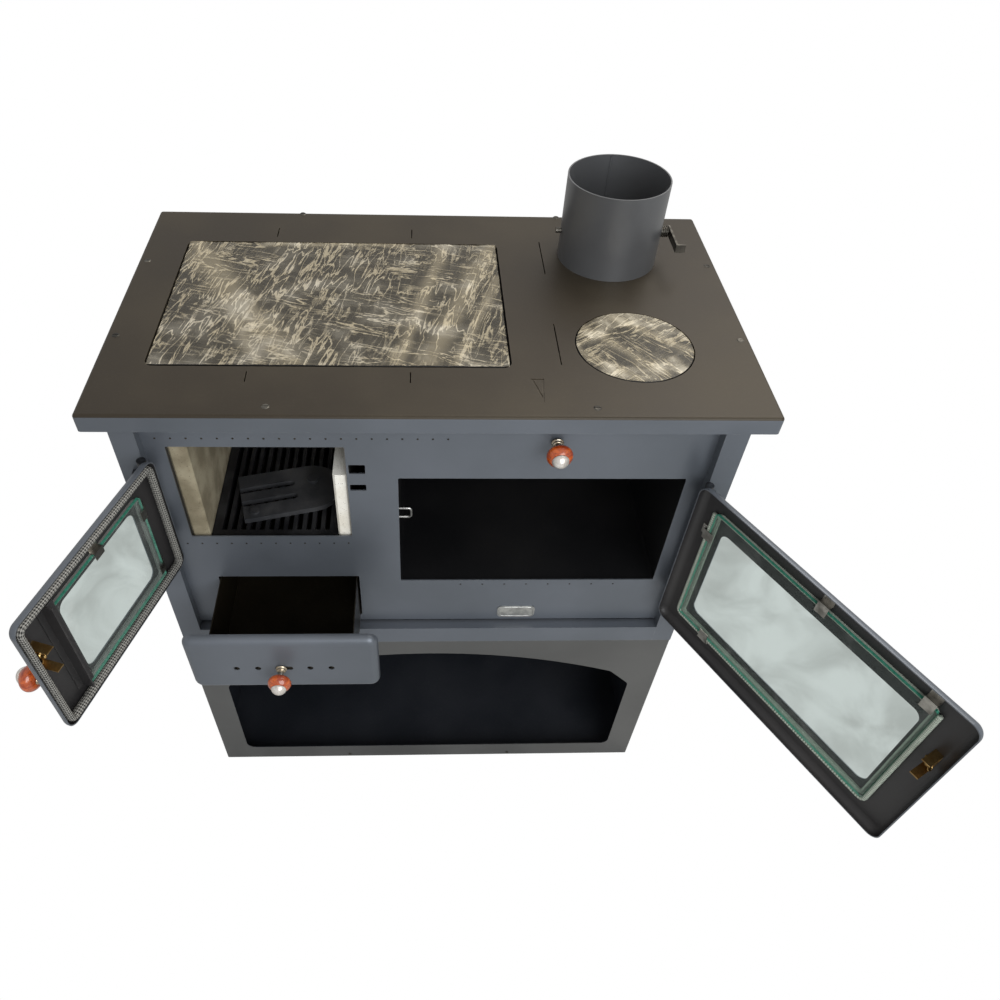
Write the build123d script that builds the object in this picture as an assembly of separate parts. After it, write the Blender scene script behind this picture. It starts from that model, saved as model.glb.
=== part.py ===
from build123d import *
from math import cos, pi, radians, sin
import os

# Wood cook stove: firebox on the left, oven on the right, ash drawer and wood store below.
# Millimetres. X to the right seen from the front, Y to the back, Z up.
# The origin is the centre of the body's footprint on the floor.

# overall
body_width = 800
body_depth = 490
height = 880
plate_width = 860
plate_front_overhang = 12
plate_back_overhang = 8
plate_sheet = 2.5
lip = 25
lip_bend = 6
sheet = 1.5
base_height = 396

# front frame
recess = 16
flange = 31
rail_height = 36
front_sheet = 2
rail_gap = 4

# openings in the front plate: low x, high x, low z, high z
fire_opening = (-343, -115, 637, 807)
oven_opening = (-47, 344, 536, 752)
ash_opening = (-322, -110, 450, 547)

# wood store mouth
arch_half_width = 354
arch_low = 40
arch_side_top = 262
arch_shoulder_x = 316
arch_shoulder_z = 302
arch_crown = 361
arch_corner = 16

# hob cut-out, round lid and flue
hob_x = (-367.5, 101.5)
hob_half_depth = 158
hob_corner = 12
hob_gap = 3
hob_thickness = 9
frame_margin = 10
frame_ledge = 12
frame_depth = 16
lid_centre = (269.5, -107)
lid_radius = 78.5
lid_gap = 1.5
lid_thickness = 7
flue_centre = (266.5, 127.5)
flue_radius = 73.7
flue_wall = 2
flue_seat = 8
flue_height = 122
damper_height = 41

# doors and the ash front are pressed pans with big round edges
pan_depth = 13
pan_edge = 11.5
pan_corner = 15
pan_sheet = 1.5
rope_gap = 3.6
fire_door = (-366, -86, 620, 817)
oven_door = (-55, 366, 501, 775)
ash_front = (-356, -78, 434, 555)
fire_door_open = 107.6
oven_door_open = 119.5
drawer_out = 112
hinge_x = 367.5
hinge_ahead = 7.5
knuckle_radius = 6
pin_radius = 2.5
pin_clearance = 0.06
knuckle_length = 22
knuckle_gap = 0.4
hinge_inset = 12

# door glass: the window cut in each pan and the pane behind it
fire_window = (-313, -157, 647, 769)
fire_pane = (-327, -143, 635, 783)
oven_window = (1, 318, 556, 720)
oven_pane = (-9, 333, 537, 747)
window_corner = 12
glass_thickness = 4
packing = 3
rope_size = 8
rope_inset = 5
rope_lift = 2.6
edge_rope = 7

# drawer
drawer_wall = 1.5
drawer_side_gap = 3
drawer_length = 380
drawer_top_gap = 3
drawer_floor_gap = 0.3
hole_radius = 4.5
hole_offsets = (-69, -38, 38, 69)
hole_z = 487
slot_half = 13

# firebox
left_brick = 25
right_brick = 20
back_brick = 25
case_wall = 3
firebox_depth = 330
firebox_floor = 622
firebox_top = 855
grate_bars = 12

# control knobs
ferrule_radius = 8
stem_radius = 4
grip_radius = 17
knob_reach = 44

plate_front = -body_depth / 2 - plate_front_overhang
plate_back = body_depth / 2 + plate_back_overhang
body_front = -body_depth / 2
panel_top = height - plate_sheet
face = body_front + recess
inside = face + front_sheet
rail_top = base_height + rail_height
rim = face - rope_gap
pan_face = rim - pan_depth
hinge_y = body_front - hinge_ahead


def block(x0, x1, y0, y1, z0, z1):
    """Box between two corners."""
    return Pos((x0 + x1) / 2, (y0 + y1) / 2, (z0 + z1) / 2) * Box(x1 - x0, y1 - y0, z1 - z0)


def rod(x, y, z, radius, length, direction):
    """Round bar from a point along +X, +Y or +Z."""
    turn = {"x": Rot(0, 90, 0), "y": Rot(-90, 0, 0), "z": Rot(0, 0, 0)}[direction]
    return Pos(x, y, z) * turn * Pos(0, 0, length / 2) * Cylinder(radius, length)


def rounded_block(x0, x1, y0, y1, z0, z1, radius):
    """Box whose four edges along Y are rounded."""
    outline = RectangleRounded(x1 - x0, z1 - z0, radius)
    return Pos((x0 + x1) / 2, y1, (z0 + z1) / 2) * Rot(90, 0, 0) * extrude(outline, y1 - y0)


def rounded_slab(x0, x1, y0, y1, z0, z1, radius):
    """Box whose four upright edges are rounded."""
    outline = RectangleRounded(x1 - x0, y1 - y0, radius)
    return Pos((x0 + x1) / 2, (y0 + y1) / 2, z0) * extrude(outline, z1 - z0)


def in_front(solid, x, z, back):
    """Place a shape turned about Z so that its axis points forward from y = back."""
    return Pos(x, back, z) * Rot(90, 0, 0) * solid


def pressed_pan(box, back, depth):
    """Pan open at the back, with round edges toward the front."""
    x0, x1, z0, z1 = box
    outer = rounded_block(x0, x1, back - depth, back, z0, z1, pan_corner)
    front_edges = outer.faces().sort_by(Axis.Y)[0].edges()
    outer = fillet(front_edges, pan_edge)
    t = pan_sheet
    inner = rounded_block(x0 + t, x1 - t, back - depth + t, back, z0 + t, z1 - t, pan_corner - t)
    inner_edges = inner.faces().sort_by(Axis.Y)[0].edges()
    inner = fillet(inner_edges, pan_edge - t)
    return outer - inner


def turned(points):
    """Solid of revolution about Z from (radius, height) points, closed on the axis."""
    low, high = points[0][1], points[-1][1]
    outline = Polyline((0, low), *points, (0, high), close=True)
    return revolve(Plane.XZ * make_face(outline), Axis.Z)


def knob_metal(x, z, back):
    """Ferrule, stem and domed cap that show on each side of the wooden grip."""
    ferrule = turned([(ferrule_radius, 0), (ferrule_radius - 1, 3), (stem_radius, 6), (stem_radius, 16)])
    dome = knob_reach - 9
    cap = turned([(10.5, dome), (10, dome + 4), (7, dome + 7.4), (3, dome + 9)])
    return in_front(ferrule, x, z, back) + in_front(cap, x, z, back)


def knob_grip(x, z, back):
    """Turned wooden ring between the stem and the cap."""
    profile = [(stem_radius + 2, 16), (12, 18), (grip_radius - 1, 22), (grip_radius, 26),
               (grip_radius - 1, 30), (13.5, 33.5), (10.5, knob_reach - 9)]
    return in_front(turned(profile), x, z, back)


def ring_gasket(box, size, y0, y1, corner):
    """Closed ring of rope packing around a rectangle, with its outer size given."""
    x0, x1, z0, z1 = box
    outer = rounded_block(x0, x1, y0, y1, z0, z1, corner)
    hole = rounded_block(x0 + size, x1 - size, y0 - 1, y1 + 1, z0 + size, z1 - size, corner - size + 2)
    return outer - hole


def grow(box, margin):
    """Rectangle made larger on every side."""
    x0, x1, z0, z1 = box
    return (x0 - margin, x1 + margin, z0 - margin, z1 + margin)


def body_half(side, z):
    """Fixed half of a barrel hinge with its foot on the side flange."""
    x = side * hinge_x
    barrel = rod(x, hinge_y, z, knuckle_radius, knuckle_length, "z")
    foot = sorted((x + side * 4, x + side * 17))
    leaf = block(foot[0], foot[1], hinge_y - 1, body_front, z, z + knuckle_length)
    bore = rod(x, hinge_y, z, pin_radius, knuckle_length, "z")
    return barrel + leaf - bore


def door_half(side, z):
    """Moving half of a barrel hinge with its leaf on the face of the closed door."""
    x = side * hinge_x
    barrel = rod(x, hinge_y, z, knuckle_radius, knuckle_length, "z")
    reach = sorted((x - side * 3, x - side * 30))
    leaf = block(reach[0], reach[1], pan_face - 3, pan_face, z, z + knuckle_length)
    bore = rod(x, hinge_y, z, pin_radius + pin_clearance, knuckle_length, "z")
    return barrel + leaf - bore


def hinge_heights(door):
    """Lower end of each fixed half, one near the bottom of a door and one near its top."""
    pair = 2 * knuckle_length + knuckle_gap
    return (door[2] + hinge_inset, door[3] - hinge_inset - pair)


def swing(shape, side, angle):
    """Turn a closed door's piece open about its hinge."""
    return shape.rotate(Axis((side * hinge_x, hinge_y, 0), (0, 0, 1)), side * angle)


def pull(shape):
    """Slide a closed drawer's piece out to where it stands."""
    return Pos(0, -drawer_out, 0) * shape


# base with the wood store
w = body_width / 2
d = body_depth / 2
arch = make_face(Polyline(
    (-arch_half_width, arch_low), (arch_half_width, arch_low), (arch_half_width, arch_side_top),
    (arch_shoulder_x, arch_shoulder_z)) + ThreePointArc(
    (arch_shoulder_x, arch_shoulder_z), (0, arch_crown), (-arch_shoulder_x, arch_shoulder_z)) + Polyline(
    (-arch_shoulder_x, arch_shoulder_z), (-arch_half_width, arch_side_top), (-arch_half_width, arch_low)))
arch_prism = extrude(Plane.XZ * arch, d + 5)
arch_prism = fillet(arch_prism.edges().filter_by(Axis.Y), arch_corner)
arch_cut = arch_prism & block(-w, w, body_front - 5, body_front + sheet + 1, 0, base_height)
base_box = block(-w, w, -d, d, 0, base_height)
base_box = fillet(base_box.edges().filter_by(Axis.Z), 3)
base_shell = base_box - block(-w + sheet, w - sheet, -d + sheet, d - sheet, sheet, base_height) - arch_cut

rivet_x = 157
rivet_z = 8
rivet_radius = 3
rivet_head = 1
base_rivets = Compound([rod(side * rivet_x, body_front - rivet_head, rivet_z, rivet_radius, rivet_head, "y")
                        for side in (-1, 1)])

# deck between the wood store and the stove, with the front rail
rail_half = w - flange
deck_plate = (block(-rail_half, rail_half, body_front, body_front + sheet, base_height, rail_top)
              + block(-rail_half, rail_half, body_front, inside, rail_top - sheet, rail_top)
              + block(-w + sheet, w - sheet, body_front + sheet, d - sheet, base_height, base_height + sheet))


def side_panel(side):
    """Side sheet with a front flange and a return that meets the front plate."""
    def part(xa, xb, y0, y1):
        x0, x1 = sorted((side * xa, side * xb))
        return block(x0, x1, y0, y1, base_height, panel_top)
    # the deck passes between the side sheets at the bottom
    wall = part(w - sheet, w, -d, d)
    front = part(w - flange, w, -d, -d + sheet)
    back_turn = part(w - flange, w - flange + sheet, -d, inside)
    panel = wall + front + back_turn
    deck_slot = block(-w + sheet, w - sheet, body_front + sheet, d, base_height, base_height + sheet)
    return panel - deck_slot


left_side_panel = side_panel(-1)
right_side_panel = side_panel(1)
rear_panel = block(-w + sheet, w - sheet, d - sheet, d, base_height, panel_top)

# front plate with its openings and the slots of the fire door's catch
plate_half = w - flange


def opening_cut(box, radius):
    return rounded_block(box[0], box[1], face - 5, inside + 5, box[2], box[3], radius)


keeper_x = (-112, -90)
keeper_slots = ((729, 740), (760, 776))
bypass_x = 159
bypass_z = 818
bypass_rod_radius = 4
bypass_clearance = 0.3
front_plate = block(-plate_half, plate_half, face, inside, rail_top + rail_gap, panel_top)
front_plate -= opening_cut(fire_opening, 2)
front_plate -= opening_cut(oven_opening, 2)
front_plate -= opening_cut(ash_opening, 2)
for low, high in keeper_slots:
    front_plate -= opening_cut((keeper_x[0], keeper_x[1], low, high), 1.5)
front_plate -= rod(bypass_x, face - 5, bypass_z, bypass_rod_radius + bypass_clearance, 20, "y")
keeper_bulge = 1.5
# the bridge between the two slots is pressed out to the back
front_plate += rounded_block(keeper_x[0] + 1, keeper_x[1] + 1, inside, inside + keeper_bulge,
                             keeper_slots[0][1] + 1, keeper_slots[1][0] - 1, 3)

badge_box = (107, 167, 443, 471)
badge = rounded_block(badge_box[0], badge_box[1], face - 1.5, face, badge_box[2], badge_box[3], 8)

# top plate: a tray turned over, with its lip folded down
tray = rounded_slab(-plate_width / 2, plate_width / 2, plate_front, plate_back, height - lip, height, 5)
tray = fillet(tray.faces().sort_by(Axis.Z)[-1].edges(), lip_bend - 1.5)
t = plate_sheet
tray_hollow = rounded_slab(-plate_width / 2 + t, plate_width / 2 - t, plate_front + t, plate_back - t,
                           height - lip - 1, height - t, 3)
hob_hole = rounded_slab(hob_x[0], hob_x[1], -hob_half_depth, hob_half_depth,
                        height - lip, height + 1, hob_corner)
lid_hole = rod(lid_centre[0], lid_centre[1], height - lip, lid_radius + lid_gap, lip + 1, "z")
flue_hole = rod(flue_centre[0], flue_centre[1], height - lip, flue_radius - flue_seat, lip + 1, "z")
top_plate = tray - tray_hollow - hob_hole - lid_hole - flue_hole
slit = 1.6
for x, y0, y1 in ((-236, 174, 202), (-29.5, 174, 202), (-236, -190, -168), (-29.5, -190, -168),
                  (168, 72, 168), (166, -150, -56)):
    top_plate -= block(x - slit / 2, x + slit / 2, y0, y1, height - 5, height + 1)
wedge = make_face(Polyline((123, -180), (140, -180), (136, -227), close=True))
inner_wedge = make_face(Polyline((126.5, -182.5), (137.5, -182.5), (135.3, -216), close=True))
top_plate -= Pos(0, 0, height - 0.8) * extrude(wedge - inner_wedge, 2)
screw_radius = 5
screw_shank = 1.9
screw_places = [(-204, 248), (204, 248), (-417, 98), (-417, -92), (417, 102), (417, -92),
                (-204, -238), (200, -238)]
for x, y in screw_places:
    top_plate -= rod(x, y, height - 5, screw_shank, 6, "z")
screw_height = 1
screw = turned([(screw_shank, -8), (screw_shank, 0), (screw_radius, 0), (screw_radius - 1.2, screw_height)])
screw -= block(-4, 4, -0.5, 0.5, screw_height - 0.6, screw_height + 1)
top_screws = Compound([Pos(x, y, height) * screw for x, y in screw_places])

# cast frames that carry the hob plate and the round lid
frame_low = panel_top - frame_depth
hob_seat = height - hob_thickness
hob_frame = rounded_slab(hob_x[0] - frame_margin, hob_x[1] + frame_margin, -hob_half_depth - frame_margin,
                         hob_half_depth + frame_margin, frame_low, panel_top, hob_corner)
hob_frame -= rounded_slab(hob_x[0], hob_x[1], -hob_half_depth, hob_half_depth,
                          hob_seat, panel_top + 1, hob_corner)
hob_frame -= rounded_slab(hob_x[0] + frame_ledge, hob_x[1] - frame_ledge, -hob_half_depth + frame_ledge,
                          hob_half_depth - frame_ledge, frame_low - 1, hob_seat + 1, hob_corner)
lid_seat = height - lid_thickness
lid_frame = (rod(lid_centre[0], lid_centre[1], frame_low, lid_radius + frame_margin, frame_depth, "z")
             - rod(lid_centre[0], lid_centre[1], lid_seat, lid_radius + lid_gap, frame_depth, "z")
             - rod(lid_centre[0], lid_centre[1], frame_low - 1, lid_radius - frame_ledge, frame_depth + 2, "z"))

hob_plate = rounded_slab(hob_x[0] + hob_gap, hob_x[1] - hob_gap, -hob_half_depth + hob_gap,
                         hob_half_depth - hob_gap, hob_seat, height, hob_corner - hob_gap)
hob_plate = fillet(hob_plate.faces().sort_by(Axis.Z)[-1].edges(), 1.5)
round_lid = rod(lid_centre[0], lid_centre[1], lid_seat, lid_radius, lid_thickness, "z")
round_lid = fillet(round_lid.faces().sort_by(Axis.Z)[-1].edges(), 1.5)

# flue collar and its damper
fx, fy = flue_centre
damper_z = height + damper_height
spindle_radius = 4
spindle_clearance = 0.06
flue_collar = (rod(fx, fy, height, flue_radius, flue_height, "z")
               - rod(fx, fy, height - 1, flue_radius - flue_wall, flue_height + 2, "z")
               - rod(fx - 100, fy, damper_z, spindle_radius + spindle_clearance, 200, "x"))
spindle_left = fx - flue_radius - 8
spring_room = 14
handle_x = fx + flue_radius + spring_room
handle_sheet = 3
damper_spindle = rod(spindle_left, fy, damper_z, spindle_radius, handle_x - spindle_left, "x")
disc_radius = flue_radius - flue_wall - 3
disc_sheet = 3
damper_disc = rod(fx, fy, damper_z + spindle_radius, disc_radius, disc_sheet, "z")
handle_width = 12
handle_length = 52
damper_handle = (block(handle_x, handle_x + handle_sheet, fy - handle_length, fy + 8,
                       damper_z - handle_width / 2, damper_z + handle_width / 2)
                 + block(handle_x, handle_x + 14, fy - handle_length, fy - handle_length + handle_sheet,
                         damper_z - handle_width / 2, damper_z + handle_width / 2))

# damper spring: one unbroken wire wound round the spindle in quarter-turn arcs
spring_wire = 1
spring_coil = 7
spring_turns = 4
spring_end_gap = 1.3
spring_start = fx + flue_radius + spring_end_gap
spring_pitch = (spring_room - 2 * spring_end_gap) / spring_turns


def spring_point(turns):
    angle = 2 * pi * turns
    return (spring_start + spring_pitch * turns, fy + spring_coil * cos(angle),
            damper_z + spring_coil * sin(angle))


spring_arcs = [ThreePointArc(spring_point(q / 4), spring_point(q / 4 + 0.125), spring_point(q / 4 + 0.25))
               for q in range(4 * spring_turns)]
spring_path = Wire(spring_arcs)
spring_section = Plane(origin=spring_point(0), z_dir=spring_path % 0) * Circle(spring_wire)
damper_spring = sweep(spring_section, path=spring_path)
print("damper spring: least gap between turns", round(spring_pitch - 2 * spring_wire, 2), "mm")

# firebox: steel case, bricks, grate and a loose slotted plate
case_x = (fire_opening[0] - case_wall, fire_opening[1] + case_wall)
case_back = inside + firebox_depth
firebox_case = block(case_x[0], case_x[1], inside, case_back, firebox_floor - case_wall, firebox_top)
firebox_case -= block(case_x[0] + case_wall, case_x[1] - case_wall, inside - 1, case_back - case_wall,
                      firebox_floor, firebox_top + 1)
smoke_low = 770
firebox_case -= block(case_x[1] - case_wall - 1, case_x[1] + 1, inside + 60, case_back - 40,
                      smoke_low, firebox_top + 1)
inner_left = case_x[0] + case_wall
inner_right = case_x[1] - case_wall
inner_back = case_back - case_wall
grate_left = inner_left + left_brick + 1
grate_right = inner_right - right_brick - 1
grate_y = (inside + 6, inside + 246)
grate_seat = 5
firebox_case -= block(grate_left + grate_seat, grate_right - grate_seat, grate_y[0] + grate_seat,
                      grate_y[1] - grate_seat, firebox_floor - case_wall - 1, firebox_floor + 1)
brick_front = inside + 4
side_brick_back = inner_back - back_brick
left_brick_top = 838
right_brick_top = 752
brick_left = block(inner_left, inner_left + left_brick, brick_front, side_brick_back,
                   firebox_floor, left_brick_top)
brick_left = chamfer(brick_left.edges().filter_by(Axis.Z), 3)
brick_right = block(inner_right - right_brick, inner_right, brick_front, side_brick_back,
                    firebox_floor, right_brick_top)
brick_right = chamfer(brick_right.edges().filter_by(Axis.Z), 3)
brick_back = block(inner_left, inner_right, side_brick_back, inner_back, firebox_floor, left_brick_top)

grate_thickness = 10
grate_border = 10
grate = block(grate_left, grate_right, grate_y[0], grate_y[1], firebox_floor, firebox_floor + grate_thickness)
bar_pitch = (grate_right - grate_left - 2 * grate_border) / grate_bars
for n in range(grate_bars):
    gap_x = grate_left + grate_border + (n + 0.5) * bar_pitch
    grate -= block(gap_x - 0.28 * bar_pitch, gap_x + 0.28 * bar_pitch, grate_y[0] + grate_border,
                   grate_y[1] - grate_border, firebox_floor - 1, firebox_floor + grate_thickness + 1)

# slotted cast plate with one round end, lying askew on the grate
loose_length = 150
loose_width = 92
loose_plate = extrude(SlotOverall(loose_length + loose_width / 2, loose_width), 8)
loose_plate &= Pos(loose_width / 4, 0, 4) * Box(loose_length, loose_width, 20)
for y in (-14, 14):
    loose_plate -= Pos(-12, y, 4) * extrude(SlotOverall(84, 11), 20, both=True)
loose_plate += Pos(58, 14, 10.5) * Cylinder(9, 5)
loose_plate += Pos(-35, -33, 10) * Cylinder(7, 4)
loose_plate = Pos(-233, inside + 85, firebox_floor + grate_thickness) * Rot(0, 0, 14) * loose_plate

# ash bay: folded tray that carries the drawer
bay_x = (ash_opening[0] - 3, ash_opening[1] + 3)
bay_back = inside + 420
bay_low = ash_opening[2] - 2
ash_bay = block(bay_x[0], bay_x[1], inside, bay_back, bay_low, firebox_floor - case_wall)
ash_bay -= block(bay_x[0] + sheet, bay_x[1] - sheet, inside - 1, bay_back - sheet,
                 bay_low + 2, firebox_floor)

# oven liner
oven_box = rounded_block(oven_opening[0] - 4, oven_opening[1] + 4, inside, inside + 420,
                         oven_opening[2] - 4, oven_opening[3] + 4, 8)
oven_box -= rounded_block(oven_opening[0] - 2.5, oven_opening[1] + 2.5, inside - 1, inside + 418.5,
                          oven_opening[2] - 2.5, oven_opening[3] + 2.5, 6.5)

# wire loop that the oven door's catch grips, fixed to the liner's side
loop_wire = 2
loop_z = (671, 688)
loop_x = -30
loop_y = inside + 5
loop_bend = 4
liner_face = oven_opening[0] - 2.5
loop_path = FilletPolyline((liner_face, loop_y, loop_z[0]), (loop_x, loop_y, loop_z[0]),
                           (loop_x, loop_y, loop_z[1]), (liner_face, loop_y, loop_z[1]), radius=loop_bend)
oven_loop = sweep(Plane(origin=loop_path @ 0, z_dir=loop_path % 0) * Circle(loop_wire), path=loop_path)

# bypass damper: rod through the front plate with a flap behind the oven top
rod_back = 150
bypass_flap_sheet = 3
bypass_rod = rod(bypass_x, face - 3, bypass_z, bypass_rod_radius, rod_back - face + 3, "y")
bypass_flap = block(bypass_x - 70, bypass_x + 70, rod_back, rod_back + bypass_flap_sheet, 765, 855)
bypass_knob_metal = knob_metal(bypass_x, bypass_z, face - 3)
bypass_knob_grip = knob_grip(bypass_x, bypass_z, face - 3)


# doors in their closed place, swung open at the end
def door_pan(door, window):
    pan = pressed_pan(door, rim, pan_depth)
    return pan - rounded_block(window[0], window[1], pan_face - 5, rim, window[2], window[3], window_corner)


pan_floor = pan_face + pan_sheet


def glass_pane(pane):
    x0, x1, z0, z1 = pane
    return rounded_block(x0, x1, pan_floor + packing, pane_out, z0, z1, 3)


def glass_packing(pane):
    """Rope pressed flat between the pan and the pane."""
    return ring_gasket(pane, 6, pan_floor, pan_floor + packing, 8)


def edge_packing(pane):
    """Rope laid round the sides and the bottom of the pane, open at the top."""
    ring = ring_gasket(grow(pane, edge_rope), edge_rope - 0.3, pan_floor, pane_out, edge_rope)
    return ring - block(pane[0], pane[1], pan_floor - 1, pane_out + 1, pane[3] - 1, pane[3] + 20)


clip_sheet = 1.2
clip_width = 16
clip_grip = 9
clip_gap = 0.4
clip_foot = 9
pane_out = pan_floor + packing + glass_thickness


def glass_clip(x, z, dx, dz, offset):
    """Bent clip: a foot on the pan, a riser beside the pane and a tongue over it."""
    def leg(a, b, y0, y1):
        half = clip_width / 2
        if dx:
            x0, x1 = sorted((x + dx * a, x + dx * b))
            return block(x0, x1, y0, y1, z - half, z + half)
        z0, z1 = sorted((z + dz * a, z + dz * b))
        return block(x - half, x + half, y0, y1, z0, z1)
    foot = leg(offset, offset + clip_foot, pan_floor, pan_floor + clip_sheet)
    riser = leg(offset, offset + clip_sheet, pan_floor, pane_out + clip_sheet)
    tongue = leg(-clip_grip, offset + clip_sheet, pane_out, pane_out + clip_sheet)
    return foot + riser + tongue


def door_hinges(side, door):
    return Compound([door_half(side, z + knuckle_length + knuckle_gap) for z in hinge_heights(door)])


def catch_claw(x, z_low, z_high, tip):
    """Brass strip bent into a U whose two leaves grip a keeper."""
    back = pan_floor
    strip, width = 1.5, 11
    seat = block(x - width / 2, x + width / 2, back, back + strip, z_low, z_high)
    low_leaf = block(x - width / 2, x + width / 2, back, tip, z_low, z_low + strip)
    high_leaf = block(x - width / 2, x + width / 2, back, tip, z_high - strip, z_high)
    return seat + low_leaf + high_leaf


def catch_bolt(x, z):
    """Nut and washer that hold the catch and the knob's screw."""
    washer = rod(x, pan_floor + 1.5, z, 6, 1.2, "y")
    nut = Pos(x, pan_floor + 2.7, z) * Rot(-90, 0, 0) * extrude(RegularPolygon(4.6, 6), 4)
    return washer + nut


fire_knob = (-104, 692)
fire_catch_x = -105.5
fire_catch_z = (732, 768)
fire_door_pan = door_pan(fire_door, fire_window)
fire_door_rope = ring_gasket(grow(fire_door, -rope_inset), rope_size, pan_floor + rope_lift, face - 0.6, 10)
fire_glass = glass_pane(fire_pane)
fire_glass_rope = glass_packing(fire_pane)
fire_glass_clips = Compound([glass_clip(fire_pane[0], 755, -1, 0, clip_gap),
                             glass_clip(fire_pane[0], 652, -1, 0, clip_gap),
                             glass_clip(-235, fire_pane[3], 0, 1, clip_gap)])
deflector_x = -137.5
deflector_z = (642, 797)
deflector_tip = face + 2
fire_deflector = (block(deflector_x - 1, deflector_x + 1, pan_floor, deflector_tip, *deflector_z)
                  + block(deflector_x - 5, deflector_x + 9, pan_floor, pan_floor + 1.5, *deflector_z)
                  + block(deflector_x - 12, deflector_x + 1, pane_out, pane_out + 1.5, *deflector_z))
fire_catch = catch_claw(fire_catch_x, *fire_catch_z, inside + 8)
fire_catch_bolt = catch_bolt(fire_catch_x, 750)
fire_knob_metal = knob_metal(fire_knob[0], fire_knob[1], pan_face)
fire_knob_grip = knob_grip(fire_knob[0], fire_knob[1], pan_face)
fire_door_hinges = door_hinges(-1, fire_door)

oven_knob = (-24, 683)
oven_catch_x = -35.5
oven_catch_z = (664, 695)
oven_rope_offset = edge_rope + clip_gap
oven_door_pan = door_pan(oven_door, oven_window)
oven_glass = glass_pane(oven_pane)
oven_glass_rope = glass_packing(oven_pane)
oven_edge_rope = edge_packing(oven_pane)
oven_glass_clips = Compound([glass_clip(oven_pane[1], 704, 1, 0, oven_rope_offset),
                             glass_clip(280, oven_pane[2], 0, -1, oven_rope_offset),
                             glass_clip(153, oven_pane[3], 0, 1, oven_rope_offset),
                             glass_clip(oven_pane[0] + 12, oven_pane[3], 0, 1, oven_rope_offset)])
oven_catch = catch_claw(oven_catch_x, *oven_catch_z, inside + 7)
oven_catch_bolt = catch_bolt(oven_catch_x, 679.5)
oven_knob_metal = knob_metal(oven_knob[0], oven_knob[1], pan_face)
oven_knob_grip = knob_grip(oven_knob[0], oven_knob[1], pan_face)
oven_door_hinges = door_hinges(1, oven_door)

body_hinge_halves = Compound([body_half(side, z) for side, door in ((-1, fire_door), (1, oven_door))
                              for z in hinge_heights(door)])
pin_length = 2 * knuckle_length + knuckle_gap
hinge_pins = Compound([rod(side * hinge_x, hinge_y, z, pin_radius, pin_length, "z")
                       for side, door in ((-1, fire_door), (1, oven_door)) for z in hinge_heights(door)])

# ash drawer in its closed place
drawer_back_plane = face - 0.5
ash_centre = (ash_front[0] + ash_front[1]) / 2
drawer_x = (ash_opening[0] + drawer_side_gap, ash_opening[1] - drawer_side_gap)
drawer_z = (ash_opening[2] + drawer_floor_gap, ash_opening[3] - drawer_top_gap)
ash_floor = drawer_back_plane - pan_depth + pan_sheet
ash_box_back = drawer_back_plane + drawer_length
guide_depth = 4
ash_box = block(drawer_x[0], drawer_x[1], ash_floor, ash_box_back, *drawer_z)
ash_box -= block(drawer_x[0] + drawer_wall, drawer_x[1] - drawer_wall, ash_floor - 1,
                 ash_box_back - drawer_wall, drawer_z[0] + drawer_wall, height)
ash_box += block(drawer_x[0], drawer_x[1], ash_floor + guide_depth, ash_floor + guide_depth + drawer_wall,
                 *drawer_z)
ash_box -= block(ash_centre - 85, ash_centre + 85, ash_floor, drawer_back_plane + 3,
                 hole_z - 12, hole_z + 12)
ash_front_pan = pressed_pan(ash_front, drawer_back_plane, pan_depth)
ash_hole = rod(0, ash_floor - 10, 0, hole_radius, 20, "y")
for offset in hole_offsets:
    ash_front_pan -= Pos(ash_centre + offset, 0, hole_z) * ash_hole
slot_cut = Rot(90, 0, 0) * extrude(SlotOverall(2 * slot_half, 2 * hole_radius), 20, both=True)
ash_front_pan -= Pos(ash_centre, ash_floor, hole_z) * slot_cut
shutter_sheet = 1.5
shutter_half_height = 11
guide_gap = 0.4
for side in (-1, 1):
    edge = hole_z + side * (shutter_half_height + guide_gap)
    z0, z1 = sorted((edge, edge + side * 4))
    ash_front_pan += block(ash_centre - 98, ash_centre + 98, ash_floor, ash_floor + guide_depth, z0, z1)
    z2, z3 = sorted((edge - side * 3, edge + side * 4))
    ash_front_pan += block(ash_centre - 98, ash_centre + 98, ash_floor + 2.5, ash_floor + guide_depth,
                           z2, z3)

air_shutter = block(ash_centre - 88, ash_centre + 88, ash_floor + 0.4, ash_floor + 0.4 + shutter_sheet,
                    hole_z - shutter_half_height, hole_z + shutter_half_height)
shutter_shift = -4
air_shutter = Pos(shutter_shift, 0, 0) * air_shutter
for offset in hole_offsets:
    air_shutter -= Pos(ash_centre + offset + shutter_shift, 0, hole_z) * ash_hole
shutter_stem = rod(ash_centre + shutter_shift, ash_floor - pan_sheet - 0.4, hole_z, 3, pan_sheet + 0.8, "y")
air_shutter += shutter_stem
ash_knob_back = ash_floor - pan_sheet - 0.4
ash_knob_metal = knob_metal(ash_centre + shutter_shift, hole_z, ash_knob_back)
ash_knob_grip = knob_grip(ash_centre + shutter_shift, hole_z, ash_knob_back)

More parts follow.
